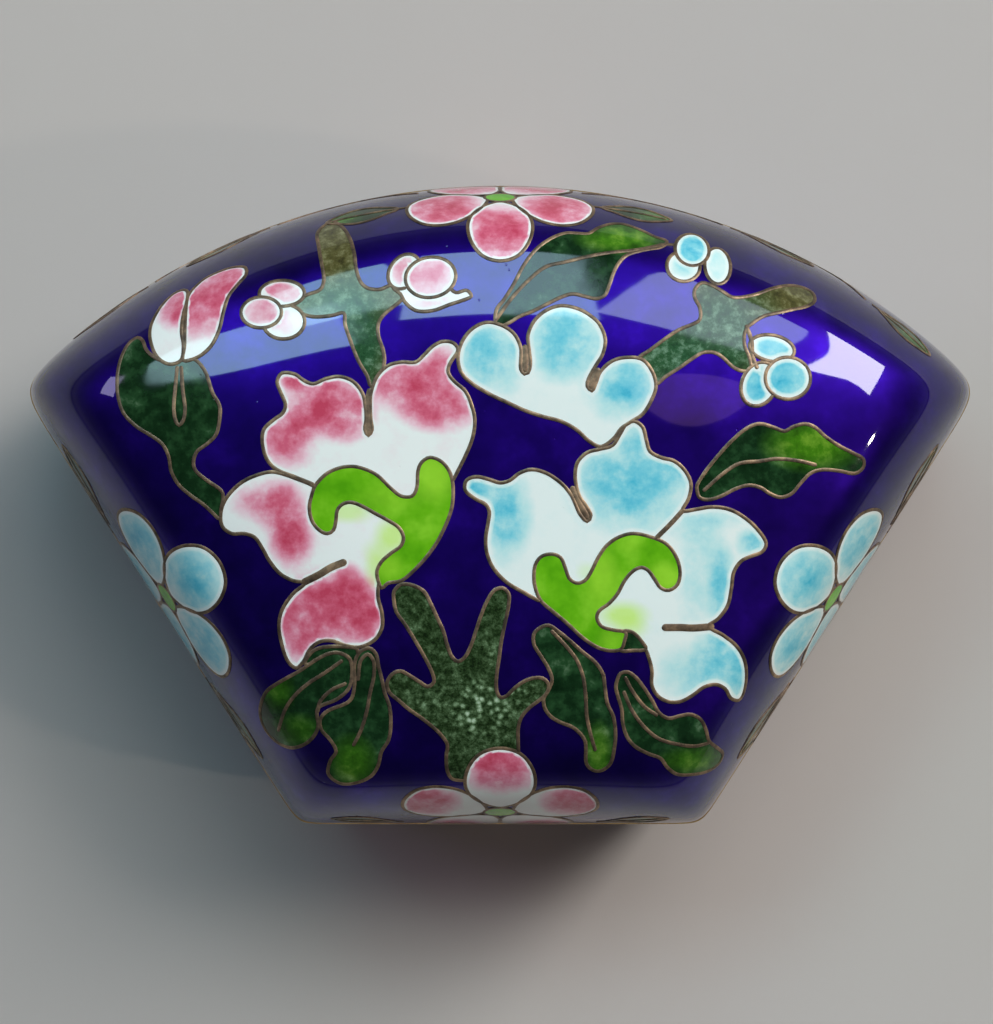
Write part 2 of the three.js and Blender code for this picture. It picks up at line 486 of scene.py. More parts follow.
def mottled(tree, place, stops, grain=2.0, spread=0.5, rim=0.12):
    """Colour laid over white as wet powder: it follows the tint, breaks up in grains, thins at wires."""
    half_wire = 0.15
    tint = add(tree, "Attribute", out="Fac", attribute_name="tint")
    wire = add(tree, "Attribute", out="Fac", attribute_name="wire")
    thin = add(tree, "MapRange", {"Value": wire, "From Min": half_wire, "From Max": half_wire + rim,
                                  "To Max": 0.85})
    laid = add(tree, "Math", {0: tint, 1: thin}, operation="MULTIPLY")
    grains = add(tree, "TexNoise", {"Vector": place, "Scale": 1 / grain, "Detail": 4.0, "Roughness": 0.62})
    off = add(tree, "Math", {0: grains, 1: 0.5}, operation="SUBTRACT")
    faded = add(tree, "Math", {0: laid, 1: 0.12}, operation="ADD")
    broken = add(tree, "Math", {0: off, 1: faded}, operation="MULTIPLY")
    amount = add(tree, "Math", {0: broken, 1: spread * 4, 2: laid}, operation="MULTIPLY_ADD")
    return painted(tree, "glint", add(tree, "ValToRGB", {"Fac": amount}, stops), linear("#c6f060"))


# Opaque white under translucent crimson, both glossy; the grains of crimson powder show at its edge.
pink, tree, shader, place = new_material("crimson_over_white_enamel")
powder = mottled(tree, place, [(0.0, "#edf2ee"), (0.25, "#eec8d3"), (0.5, "#e290a6"), (0.75, "#d4647e"),
                               (1.0, "#c2455f")])
handle(tree, shader, place, 3.0, 0.04, 0.1, powder)
stone(tree, shader, place)

pink_upper = [
    (-15.3, 1.6), (-17, 2.3), (-18.5, 2.9), (-19.3, 3.7), (-19.7, 5), (-19.6, 6.2), (-18.8, 7), (-18, 7.6),
    (-17.8, 8.3), (-18.2, 9.3), (-18.5, 10.2), (-18.1, 10.9), (-17, 10.8), (-16.3, 10.3), (-15.5, 10),
    (-14.5, 10.4), (-13.3, 10.6), (-12.2, 10.2), (-11.4, 9.2), (-11.15, 8), (-11.1, 7), (-11.2, 6.2),
    (-10.9, 5.7), (-10.6, 6.2), (-10.7, 7), (-10.75, 8), (-10.7, 9.2), (-10.2, 10.6), (-9.3, 11.5),
    (-8.2, 11.8), (-7, 11.8), (-6.3, 12.4), (-5.6, 13.1), (-4.8, 13.5), (-3.9, 13.4), (-3.5, 12.8),
    (-4.2, 11.6), (-4.3, 10.9), (-3.8, 10.2), (-2.9, 9.4), (-2.4, 8.3), (-2.1, 7), (-2.3, 5.5), (-2.9, 4),
    (-3.4, 3), (-4, 1.9), (-5, 0.8), (-6, -0.2), (-7.5, -0.6), (-9, 0), (-10.5, 1), (-12, 1.8), (-13.6, 1.8),
    (-14.6, 1.2),
]
pink_lower = [
    (-15.4, 1.5), (-16.5, 2), (-18.7, 2.7), (-20, 2.5), (-21.5, 1.8), (-22.7, 0.6), (-23.2, -0.6),
    (-23.1, -1.8), (-22.3, -2.4), (-21.3, -2.4), (-20.4, -2.7), (-19.7, -3.7), (-19.2, -4.6), (-18.3, -5.7),
    (-17.2, -6.3), (-16.2, -6.5), (-17.2, -7.4), (-18.1, -8.7), (-18.4, -10), (-18.2, -11.5), (-17.7, -13),
    (-17, -13.6), (-16.4, -13.1), (-15.8, -12), (-15, -11.4), (-14, -11.3), (-12.8, -11.7), (-11.6, -11.8),
    (-10.4, -11.2), (-9.8, -10.2), (-9.8, -9), (-10.1, -7.8), (-10.1, -6.9), (-9.9, -6.2), (-9.3, -5.4),
    (-8.2, -4.6), (-7.2, -3.4), (-7, -2.2), (-7.9, -1.2), (-9.3, -0.4), (-11, 0.4), (-12.6, 0.9), (-14, 0.5),
    (-14.8, 0.9),
]
pink_tints = [
    (-14, 8.4, 2.9, 2.7, 0.85), (-17.6, 5.6, 2.1, 2.2, 0.75), (-17, 10.2, 1.1, 0.7, 0.9),
    (-15.8, 7.6, 2, 2, 0.45), (-12.6, 7.2, 1.9, 1.7, 0.4), (-8.2, 10, 2.9, 1.9, 0.85),
    (-5.2, 8, 2.9, 1.7, 0.75), (-6.5, 8.2, 1.2, 0.9, 0.5), (-5.2, 10.6, 1.7, 2, 0.65),
    (-4.8, 12.3, 0.9, 0.9, 0.45), (-18.3, -0.2, 1.8, 2, 0.75), (-17.3, -2.6, 1.6, 2.4, 0.85),
    (-20.2, 0.3, 1.9, 1.4, 0.4), (-13.8, -8.6, 3.7, 2.9, 0.85), (-14.6, -7.6, 1.6, 0.9, 0.6),
    (-16.8, -10.4, 1.7, 2.9, 0.75), (-11.4, -9, 1.8, 2.4, 0.7), (-12.7, -6.2, 1.1, 1.2, 0.5),
]
pink_glints = [
    (-12.6, -0.6, 1.8, 0.8, 0.6), (-8.9, -2.6, 1.3, 1.3, 0.75), (-10.2, -5.2, 0.9, 1.4, 0.6),
    (-10, -3.9, 1.2, 1, 0.35),
]
enamel("lid_pink_flower", "lid_shell", [(2, pink_upper), (1, pink_lower)], pink, lid_top,
       pink_tints, pink_glints)
# Drops of solder fill the wires' hairpins, where two petals meet in a slit.
lid_wires = [
    (0.6, [(-16.2, -6.4), (-15, -5.8), (-14, -5.2), (-13, -4.8)]),
    (0.5, [(-10.9, 6), (-10.9, 7.2), (-10.95, 8.6), (-10.8, 9.4)]),
]

# --- Blue flower -----------------------------------------------------------------------------------
# The other big blossom and the small one above it, made the same way in turquoise over white.

# Turquoise frit over white: it pools deeper toward the petals' tips and spots where it lay thick.
blue, tree, shader, place = new_material("turquoise_over_white_enamel")
powder = mottled(tree, place, [(0.0, "#e8f2ee"), (0.3, "#bde6e6"), (0.6, "#80d0dd"), (0.85, "#52bcd4"),
                               (1.0, "#38a6c6")], grain=1.6, spread=0.4, rim=0.25)
handle(tree, shader, place, 3.0, 0.04, 0.1, powder)
stone(tree, shader, place)

blue_flower = [
    (3.4, -8), (2, -7.3), (0.5, -6.4), (-0.6, -5.2), (-1.1, -4), (-1.2, -2.8), (-1, -1.5), (-0.9, -0.6),
    (-1.2, 0), (-2.1, 0.5), (-2.9, 1.2), (-2.8, 2), (-2, 2.3), (-1, 2.1), (0, 1.8), (0.8, 2), (1.6, 2.6),
    (2.6, 2.9), (3.8, 2.6), (5, 1.8), (5.8, 0.9), (6.2, 0.1), (6.6, -0.8), (7.2, -1.4), (7.5, -0.9),
    (7.1, -0.1), (6.6, 0.6), (6.3, 1.5), (6.2, 2.5), (6.4, 3.5), (7.2, 4.3), (8.3, 4.6), (9.3, 4.9),
    (9.9, 5.8), (10.4, 6.6), (11.1, 6.9), (11.8, 6.4), (12.1, 5.3), (12.4, 4.4), (13.3, 3.9), (14.4, 3.6),
    (15.3, 2.8), (15.8, 1.7), (15.6, 0.5), (15.1, -0.5), (16.2, -0.4), (17.5, -0.2), (19, -0.4),
    (20.3, -1.1), (21.4, -2.1), (22.1, -3.2), (21.8, -3.9), (20.8, -4.3), (20, -4.7), (19.4, -5.6),
    (19.2, -7), (18.9, -8.4), (18.1, -9.5), (17.3, -10.1), (18.6, -10.9), (19.7, -11.8), (20.4, -13),
    (20.6, -14.4), (20.4, -15.8), (20, -16.4), (19.3, -16.2), (18.8, -15.4), (18, -15), (17, -15.2),
    (16, -15.9), (15, -16.4), (14, -16.4), (13.1, -15.9), (12.6, -15), (12.6, -13.8), (12.3, -12.6),
    (11.8, -11.5), (11, -10.7), (10, -10.5), (9.2, -11.2), (8, -10.8), (6.5, -9.8), (5, -8.6), (4, -7.8),
]
upper_flower = [
    (1.7, 12), (1.7, 13), (1.1, 14.2), (0, 14.9), (-1.2, 15.1), (-2.4, 14.5), (-3.2, 13.4), (-3.5, 12.1),
    (-3.2, 10.9), (-2.3, 10), (-0.8, 9.1), (0.7, 8.4), (2, 7.8), (3.5, 7.3), (5, 6.9), (6.3, 6.2),
    (7.3, 5.3), (8.2, 4.8), (8.8, 5), (9.5, 5.6), (10, 6.3), (10.9, 6.9), (11.8, 7.5), (12.5, 8.6),
    (12.9, 9.8), (12.6, 11), (11.8, 12), (10.6, 12.2), (9.3, 11.9), (8.3, 11), (7.9, 10), (7.6, 9.4),
    (7.2, 9.8), (7.3, 10.4), (7.9, 11.5), (8.5, 12.5), (8.7, 13.7), (8.2, 15), (7.3, 15.8), (6.3, 16.3),
    (5, 16.5), (3.8, 16.1), (2.8, 15.2), (2.3, 14), (2.4, 12.8), (2.5, 11.6), (2.3, 10.9), (2, 10.8),
    (1.7, 11.2),
]
blue_tints = [
    (-2, 1.4, 1.3, 1, 0.75), (0.4, -0.8, 1.8, 3.4, 0.7), (11, 1.6, 4.5, 3.6, 0.6), (11, 0.8, 1.5, 1.6, 0.5),
    (8.6, 2.6, 2, 1.6, 0.25), (11, 5.2, 1, 1.6, 0.45), (14, 2.6, 1.8, 1.4, 0.4), (16.6, -2.1, 2, 1, 0.3),
    (17.5, -1, 3, 0.8, 0.25), (21, -3.2, 1.2, 1.1, 0.65), (18.4, -6.6, 1, 3, 0.65),
    (16.5, -5.5, 1.7, 4.2, 0.3), (18.6, -12.6, 2.2, 2.4, 0.7), (19.9, -14.6, 0.9, 1.8, 0.6),
    (16, -14, 2.6, 2, 0.4),
]
blue_glints = [(10.2, -9.2, 1.8, 1, 0.8), (10.9, -10.2, 1.2, 0.8, 0.5), (7.2, -5.6, 0.8, 0.7, 0.3)]
upper_tints = [
    (-0.9, 12.4, 2.9, 2.9, 0.6), (5.4, 13.6, 3.2, 2.9, 0.6), (5.4, 15.4, 2, 0.9, 0.35),
    (10.2, 9.9, 2.8, 2.5, 0.6), (10, 9.3, 1, 0.9, 0.5), (-1.6, 13, 1.2, 1.2, 0.35), (5, 12, 1.6, 1.6, 0.25),
]
enamel("lid_blue_flower", "lid_shell", [(1, blue_flower)], blue, lid_top, blue_tints,
       blue_glints)
enamel("lid_upper_flower", "lid_shell", [(2, upper_flower)], blue, lid_top, upper_tints)
lid_wires += [
    (0.6, [(17.5, -10.15), (16, -10.25), (15, -10.2), (13.7, -10.2)]),
    (0.4, [(15.1, -0.5), (14.2, -1.5), (13, -2.7)]), (0.5, [(6, 1.3), (6.5, 0.2), (7.15, -1)]),
    (0.5, [(2.05, 13), (2.1, 12), (2.05, 11.2)]), (0.5, [(8.05, 11.1), (7.75, 10.4), (7.5, 9.8)]),
]

# --- Stamens ---------------------------------------------------------------------------------------
# The curled hearts of both blossoms, a clear lime-green glass over white in cells of their own.

# Bright and even, a touch deeper where the glass is thick and yellower where it thins to the white.
lime, tree, shader, place = new_material("lime_enamel")
pools = add(tree, "TexNoise", {"Vector": place, "Scale": 1 / 2.5, "Detail": 3.0, "Roughness": 0.55})
depth = add(tree, "ValToRGB", {"Fac": pools}, [(0.3, "#52a010"), (0.5, "#68b418"), (0.7, "#84c82c")])
handle(tree, shader, place, 3.0, 0.04, 0.09, painted(tree, "tint", depth, linear("#a8e23c")))
stone(tree, shader, place)

pink_stamen = [
    (-15.3, 1.6), (-14.3, 2.6), (-13, 3.1), (-11.8, 3.1), (-10.3, 2.5), (-9, 1.3), (-8.2, 0.7), (-7.3, 0.7),
    (-6.9, 1.4), (-6.8, 2.8), (-6.5, 3.5), (-5.8, 3.9), (-4.8, 3.5), (-4.1, 2.5), (-3.9, 1), (-4.1, -0.6),
    (-5, -2.7), (-6, -4.2), (-7.2, -5.5), (-8.2, -6.3), (-9.3, -6.5), (-9.8, -6.9), (-10.1, -6.3),
    (-10.2, -5.5), (-9.8, -4.7), (-9, -4), (-8.2, -3.4), (-8, -2.7), (-8.4, -1.9), (-9.3, -1.3),
    (-10.4, -0.7), (-11.5, -0.1), (-12.4, 0.2), (-13.1, 0), (-13.5, -0.5), (-13.6, -1.3), (-13.8, -2.1),
    (-14.3, -2.4), (-15, -2.1), (-15.6, -1.3), (-15.8, -0.2), (-15.6, 0.8),
]
blue_stamen = [
    (3.4, -8), (3, -7.2), (2.8, -6.2), (2.9, -5), (3.4, -4.3), (4.3, -4.1), (5, -4.4), (5.4, -5.3),
    (5.7, -6.1), (6.3, -6.5), (7, -6.3), (7.5, -5.6), (8.1, -4.4), (8.8, -3.4), (9.8, -2.7), (11, -2.4),
    (12.5, -2.7), (13.8, -3.3), (14.6, -4.4), (14.9, -5.6), (14.7, -6.6), (14, -7.1), (13.3, -6.9),
    (12.8, -6.2), (12.3, -5.5), (11.7, -5.2), (11, -5.5), (10.3, -6.3), (9.7, -7.4), (9, -8.2), (8.2, -8.8),
    (8, -9.4), (8.4, -10.1), (9.4, -10.4), (10.4, -10.6), (10.3, -11.3), (10, -12), (9, -12.1), (8, -11.8),
    (6.8, -11), (5.5, -9.8), (4.3, -8.8),
]
stamen_tints = [
    (-5.4, 2.2, 1.4, 1.8, 0.6), (-9.2, -5.2, 1, 1, 0.4), (-9, 0.6, 2.4, 1, 0.25), (8.4, -6, 1.2, 2.2, 0.55),
    (13.6, -6, 1.1, 1.1, 0.55), (10.5, -3.2, 1.2, 0.7, 0.3), (9.2, -11.2, 1, 0.8, 0.3),
]
enamel("lid_stamens", "lid_shell", [(3, pink_stamen), (3, blue_stamen)], lime, lid_top,
       stamen_tints)

# --- Leaves ----------------------------------------------------------------------------------------
# Leaves, twigs, the calyx and the rock at the front: transparent greens laid straight on the copper,
# so they stay dark and gem-like, with coarse frit left showing and a brighter green at the tips.

# Deep bottle green that breaks into paler grains 0.3 to 0.5 mm across, turning bright by the tint.
leaf, tree, shader, place = new_material("transparent_leaf_enamel")
frit = add(tree, "TexNoise", {"Vector": place, "Scale": 1 / 1.6, "Detail": 5.0, "Roughness": 0.62})
dark = add(tree, "ValToRGB", {"Fac": frit},
           [(0.3, "#0a1f0e"), (0.48, "#142f18"), (0.62, "#264829"), (0.82, "#6d8a6a")])
fresh = add(tree, "ValToRGB", {"Fac": frit}, [(0.3, "#28500c"), (0.5, "#427a14"), (0.75, "#7ca632")])
handle(tree, shader, place, 2.0, 0.05, 0.12, painted(tree, "tint", dark, fresh))
stone(tree, shader, place)

calyx = [
    (-30.4, 14), (-31.2, 13.4), (-31.8, 12), (-32, 10.5), (-31.9, 9), (-31.4, 7.6), (-30.3, 6.5), (-29, 5.7),
    (-28.1, 5), (-27.6, 4), (-27.4, 2.8), (-26.8, 1.7), (-25.8, 0.8), (-24.8, 0.1), (-24, -0.6),
    (-23.3, -1.2), (-23.2, -0.4), (-23, 0.6), (-23.2, 1.2), (-24.2, 1.9), (-25.3, 2.8), (-25.5, 3.5),
    (-25.2, 4.4), (-24.4, 5), (-23.6, 5.8), (-23.3, 7), (-23.3, 8.2), (-23.9, 9.3), (-24.5, 11), (-25.3, 12),
    (-26.4, 12.4), (-27.2, 12.2), (-28.2, 12), (-29, 12.4), (-29.6, 13), (-29.9, 13.7),
]
cross_twig = [
    (-14.3, 24), (-15.4, 23), (-15.2, 21.5), (-14.9, 20), (-14.7, 18.7), (-15, 17.9), (-16, 17.5),
    (-17, 17), (-17.3, 16.3), (-16.6, 15.9), (-15.5, 15.6), (-14, 15.7), (-13, 15.9), (-12.9, 15),
    (-12.4, 13.5), (-11.8, 12), (-11, 10.6), (-10.7, 9.8), (-9.9, 10.6), (-9.6, 11.8), (-9.7, 12.8),
    (-10.1, 14), (-10.1, 15), (-9.7, 15.7), (-8.9, 16.4), (-8.3, 16.9), (-7.9, 17.5), (-8.3, 18.2),
    (-9, 18.3), (-10, 17.9), (-11, 18), (-11.6, 18.5), (-12, 19.6), (-12.2, 21), (-12.6, 22.3),
    (-13.3, 23.4),
]
upper_leaf = [
    (-0.4, 15.2), (-0.3, 16.2), (0.3, 17), (1.1, 18.3), (2, 20), (3, 21.3), (4.2, 22.2), (5.4, 22.7),
    (6.6, 22.7), (7.4, 22.7), (8.2, 23.2), (9.3, 23.6), (10.4, 23.6), (11.8, 23.1), (13, 22.5), (14, 22.1),
    (13.6, 21.6), (12.2, 21.3), (11, 21), (10.4, 20.7), (9.8, 20), (9.4, 19.2), (9.1, 18.3), (8.7, 17.4),
    (8, 17.1), (7, 17.3), (6, 17.5), (5, 17.2), (3.8, 16.6), (2.6, 16), (1.6, 15.6), (0.8, 15.1), (0, 14.8),
]
star_twig = [
    (16.2, 17.9), (16.8, 18.5), (17.6, 18.3), (18.5, 17.8), (19.3, 17.3), (20.2, 17.3), (21.5, 17.6),
    (22.8, 18.1), (24.2, 18.4), (25.4, 18.3), (26.3, 17.8), (26.4, 17.1), (25.7, 16.6), (24.5, 16.3),
    (23.2, 16), (22, 15.7), (21, 15.1), (20.4, 14.5), (20.3, 13.3), (20.7, 12.2), (20.8, 11.2), (20, 11.1),
    (19.2, 11.5), (18.6, 12.1), (17.8, 12.6), (16.8, 12.6), (15.8, 12), (14.8, 11.3), (13.7, 10.6),
    (12.9, 10), (12.1, 10.9), (11.5, 12.1), (12.4, 12.8), (13.6, 13.7), (14.8, 14.5), (16, 15),
    (16.6, 15.4), (16.6, 16.4), (16.2, 17.2),
]
right_leaf = [
    (16.3, 1.2), (16.3, 1.6), (16.9, 2.6), (18, 4), (19.2, 5.3), (20.4, 6.3), (21.5, 6.7), (22.7, 6.4),
    (23.6, 6.1), (24.4, 6.5), (25.4, 6.7), (26.2, 6.4), (27, 5.7), (28.2, 4.9), (29.4, 4.3), (30.3, 3.8),
    (30.3, 3.1), (29.6, 2.6), (28.3, 2.8), (26.8, 2.9), (25.8, 2.6), (25, 1.8), (24.2, 0.9), (23.3, 0.6),
    (22.4, 0.9), (21.6, 1.4), (20.6, 1.6), (19.5, 1.3), (18.3, 0.7), (17.2, 0.4), (16.5, 0.6),
]
low_leaf = [
    (3.3, -10.2), (4, -10), (4.8, -10.5), (5.8, -11.3), (6.8, -12.2), (7.8, -13), (8.5, -14), (8.7, -15.2),
    (8.9, -16.5), (9.4, -17.6), (9.6, -19), (9.5, -20.4), (9.2, -21.6), (8.5, -22.2), (7.8, -22.2),
    (7.2, -21.6), (7.1, -19.8), (6.7, -19.1), (6, -18.5), (5, -18.1), (4.2, -17.6), (3.7, -16.9),
    (3.6, -16.1), (4, -15.4), (4.3, -14.5), (4, -13.6), (3.4, -12.6), (2.8, -11.6), (2.8, -10.7),
]
corner_leaf = [
    (9.7, -14.6), (10, -14), (10.6, -13.9), (11.3, -14.4), (12, -15.3), (12.7, -16.4), (13.2, -17.3),
    (14, -17.8), (15, -17.6), (15.9, -17.5), (16.7, -17.9), (17.2, -18.8), (17.5, -19.8), (18.2, -20.4),
    (18.8, -21), (18.5, -21.9), (17.5, -22.5), (16, -22.7), (14.8, -22.6), (14, -22), (13.4, -21.2),
    (12.4, -20.8), (11.3, -20.2), (10.6, -19.4), (10.2, -18.2), (10.1, -17), (9.8, -16), (9.6, -15.2),
]
left_leaf = [
    (-13.4, -12.3), (-12.5, -12.8), (-12.3, -14), (-12.6, -15.3), (-13.6, -16.2), (-15.2, -17),
    (-15.2, -18.6), (-16, -19.8), (-17.4, -20.4), (-18.8, -20), (-19.9, -18.8), (-20.2, -17.3),
    (-19.6, -15.7), (-18.4, -14.8), (-16.8, -13.9), (-15.3, -12.9), (-14.3, -12.4),
]
left_sliver = [
    (-16.2, -13.3), (-15.6, -12.2), (-14.4, -11.8), (-12, -11.9), (-11.8, -12.3), (-12.2, -13),
]
long_leaf = [
    (-10.9, -11.9), (-10.3, -12.4), (-10.1, -13.4), (-9.8, -14.6), (-9.6, -15.6), (-9.2, -16.8),
    (-9.1, -18.3), (-9.3, -19.6), (-9.9, -20.6), (-10.2, -21.8), (-10.8, -22.7), (-12, -23.3),
    (-13.4, -23.4), (-14.4, -22.6), (-14.2, -21.4), (-13.7, -20.6), (-14.2, -19.6), (-14.9, -18.8),
    (-15, -17.9), (-14.4, -17.2), (-12.5, -16.3), (-12.1, -14.9), (-12.1, -13.3), (-11.7, -12.3),
]
stamen_sliver = [
    (10.2, -10.5), (11, -10.6), (11.7, -11.3), (12.1, -12), (11, -12.1), (10, -12.1), (10.3, -11.3),
]
greens = [
    (1, calyx), (1, upper_leaf), (1, right_leaf), (1, low_leaf), (1, corner_leaf), (1, left_leaf),
    (0.5, left_sliver), (1, long_leaf), (2, stamen_sliver),
]
leaf_tints = [
    (10, 22.3, 3, 1.1, 0.9), (26, 5, 3.4, 1.8, 1.0), (8.2, -21, 1, 2.4, 0.6), (16.2, -21.5, 2.4, 1, 0.6),
    (-18.6, -15.6, 1.2, 1.4, 0.5), (-17, -18.9, 1.8, 1.2, 0.45), (-12.3, -21.6, 1.6, 2, 0.6),
]
enamel("lid_leaves", "lid_shell", greens, leaf, lid_top, leaf_tints)

# Bark-coloured glass, an olive brown of the same kind, turning to the leaves' green where tinted.
bark, tree, shader, place = new_material("olive_twig_enamel")
frit = add(tree, "TexNoise", {"Vector": place, "Scale": 1 / 0.9, "Detail": 5.0, "Roughness": 0.7})
olive = add(tree, "ValToRGB", {"Fac": frit}, [(0.3, "#35331d"), (0.5, "#56532f"), (0.75, "#8d8c66")])
mossy = add(tree, "ValToRGB", {"Fac": frit}, [(0.3, "#123420"), (0.5, "#2c5838"), (0.75, "#7fa58a")])
handle(tree, shader, place, 2.0, 0.05, 0.12, painted(tree, "tint", olive, mossy))
stone(tree, shader, place)
enamel("lid_twigs", "lid_shell", [(1, cross_twig), (1, star_twig)], bark, lid_top,
       [(-12, 13.5, 3, 5, 0.95), (-15, 17, 3, 1.4, 0.6), (18, 14, 4.5, 5, 0.9), (14, 12, 3, 2.5, 0.9)])
veins = [
    [(-26.9, 11.4), (-27.05, 9.5), (-27.15, 8), (-27, 7), (-26.7, 6.6), (-26.35, 7), (-26.2, 8),
     (-26.4, 9.5), (-26.55, 11.4)],
    [(-0.3, 15.4), (1, 17.2), (2.4, 18.7), (3.8, 19.8), (5.4, 20.2), (7, 20.6), (9, 21), (11.5, 21.3),
     (13.8, 21.8), (14.7, 21.8)],
    [(16.9, 1.2), (18.5, 2.6), (19.8, 3.4), (21.5, 3.6), (23, 3.8), (25, 3.6), (26.2, 3.3)],
    [(4.3, -10.5), (5.6, -11.9), (6.4, -13), (6.9, -14.4), (7.1, -16), (7.2, -17.6), (7.5, -19),
     (7.9, -20.4)],
    [(10.3, -15.6), (10.9, -17), (11.9, -18.4), (13.2, -19.5), (14.8, -20), (16.3, -20.2), (17.4, -20)],
    [(10.4, -14.4), (11, -15.5), (12, -16.8), (13, -17.5)],
    [(-13.2, -13), (-14.6, -14), (-16, -14.9), (-17.2, -16), (-18, -17.2), (-18.6, -18.9)],
    [(-12.9, -14.9), (-14, -15.4), (-15, -16.4), (-15.2, -17.2)],
    [(-11.8, -14.5), (-11.6, -13), (-11, -12.4), (-10.5, -13), (-10.5, -14.3), (-10.8, -15.6),
     (-11.1, -17.2), (-11.6, -18.8), (-12.2, -20)],
]
lid_wires += [(cell_wire, vein) for vein in veins]

# --- Rock ------------------------------------------------------------------------------------------
# The branching rock at the front edge, filled with coarse frit so that it sparkles like aventurine.

# Dark green glass full of pale granules 0.3 to 0.6 mm across, thickest in the middle of the rock.
rock_glass, tree, shader, place = new_material("granular_rock_enamel")
granules = add(tree, "TexVoronoi", {"Vector": place, "Scale": 1 / 0.6, "Randomness": 1.0})
grain = add(tree, "MapRange", {"Value": granules, "From Min": 0.55, "From Max": 0.15, "To Max": 0.34})
middle = add(tree, "Attribute", out="Fac", attribute_name="tint")
glitter = add(tree, "Math", {0: grain, 1: middle}, operation="MULTIPLY")
bed = add(tree, "TexNoise", {"Vector": place, "Scale": 1 / 0.7, "Detail": 6.0, "Roughness": 0.8})
salted = add(tree, "Math", {0: bed, 1: glitter}, operation="ADD")
speck = add(tree, "ValToRGB", {"Fac": salted},
            [(0.36, "#12200e"), (0.48, "#24371c"), (0.58, "#43593a"), (0.7, "#6f8a66"), (0.9, "#b4caae")])
handle(tree, shader, place, 1.2, 0.06, 0.14, speck)
stone(tree, shader, place)

rock = [
    (-8.8, -8), (-8.8, -7.2), (-8.2, -6.6), (-7.2, -6.7), (-6.3, -7.2), (-5.8, -8.1), (-5.2, -9.4),
    (-4.7, -10.5), (-4.4, -11.6), (-4, -12.6), (-3.5, -13), (-2.9, -12.6), (-2.4, -11.6), (-2, -10.4),
    (-1.6, -9.2), (-1.1, -8), (-0.5, -7.1), (0.2, -6.9), (0.7, -7.4), (0.7, -8.3), (0.4, -9.8),
    (0.1, -11.3), (-0.1, -12.8), (-0.3, -14.2), (-0.3, -15.4), (0, -16), (0.5, -15.9), (1.1, -15.3),
    (1.9, -14.7), (2.7, -14.4), (3.5, -14.4), (4, -14.9), (3.9, -15.6), (3.3, -16.2), (2.5, -16.8),
    (1.8, -17.6), (1.5, -18.6), (1.5, -19.8), (1.5, -21), (1.2, -22.6), (-1.5, -23), (-3.9, -23),
    (-4.4, -22.3), (-4.5, -21), (-4.4, -20), (-4.9, -19.2), (-5.6, -18.5), (-6.6, -17.7), (-7.6, -17),
    (-8.4, -16.3), (-9.2, -15.6), (-9.4, -14.8), (-9, -14.1), (-8.3, -13.8), (-7.5, -14.2), (-6.7, -14.7),
    (-6, -15.1), (-5.5, -14.7), (-5.7, -13.8), (-6.3, -12.6), (-7.1, -11.2), (-7.9, -9.9), (-8.6, -8.9),
]
enamel("lid_rock", "lid_shell", [(1, rock)], rock_glass, lid_top,
       [(-1.5, -17, 2.6, 2.4, 1.0), (-6, -16, 1.5, 1, 0.6), (2, -15.6, 1.4, 1, 0.5), (-1, -12, 1, 2, 0.3)])

# --- Buds ------------------------------------------------------------------------------------------
# Small round buds on the twigs, each two or three cells of the flowers' own pink and turquoise.


def placed(shape, x, y, tilt, size=1):
    """A shape scaled, tilted up by an angle in degrees, and moved to a place."""
    cosine, sine = size * math.cos(math.radians(tilt)), size * math.sin(math.radians(tilt))
    return [(x + out * cosine - side * sine, y + out * sine + side * cosine) for out, side in shape]


def oval(x, y, half_long, half_short, tilt=0):
    """An oval outline round a centre, its long way tilted up by an angle in degrees."""
    turns = [math.radians(22.5 * step) for step in range(16)]
    return placed([(half_long * math.cos(turn), half_short * math.sin(turn)) for turn in turns], x, y, tilt)


bud_left_petal = [
    (-26.6, 12), (-27.6, 11.7), (-28.6, 12.3), (-29.2, 13.6), (-29.3, 14.8), (-28.9, 16), (-28.3, 17),
    (-27.5, 17.8), (-26.7, 18.1), (-26.3, 17.9), (-26.3, 17), (-26.5, 16), (-26.6, 14.5), (-26.4, 13.2),
]
bud_right_petal = [
    (-26.4, 12), (-26.3, 13.2), (-26.3, 14.5), (-26.3, 16), (-26.2, 17.5), (-25.6, 18.4), (-24.8, 19.1),
    (-23.5, 19.7), (-22.3, 20), (-21.4, 19.9), (-21.3, 19.3), (-22, 18.4), (-22.7, 17.4), (-23.1, 16),
    (-23.4, 14.6), (-24, 13.3), (-24.8, 12.5), (-25.6, 12.1),
]
bud_low_petal = [
    (-8.9, 18.1), (-8.3, 17.5), (-7.9, 16.8), (-7, 16.1), (-5.6, 16.1), (-4.2, 16.6), (-3, 17), (-2.4, 17.3),
    (-2.8, 17.8), (-3.7, 17.6), (-4.6, 18.4), (-6.5, 19.2),
]
pink_buds = [
    (2, bud_right_petal), (2, bud_left_petal),
    (4, oval(-19.9, 16, 1.7, 1.3)), (3, oval(-18.2, 17.6, 1.9, 1.1)), (2, oval(-18, 15.2, 1.75, 1.45)),
    (4, oval(-5.8, 18.9, 2.1, 1.7, 10)), (3, oval(-8, 19.4, 1.2, 1.6, -35)), (2, bud_low_petal),
]
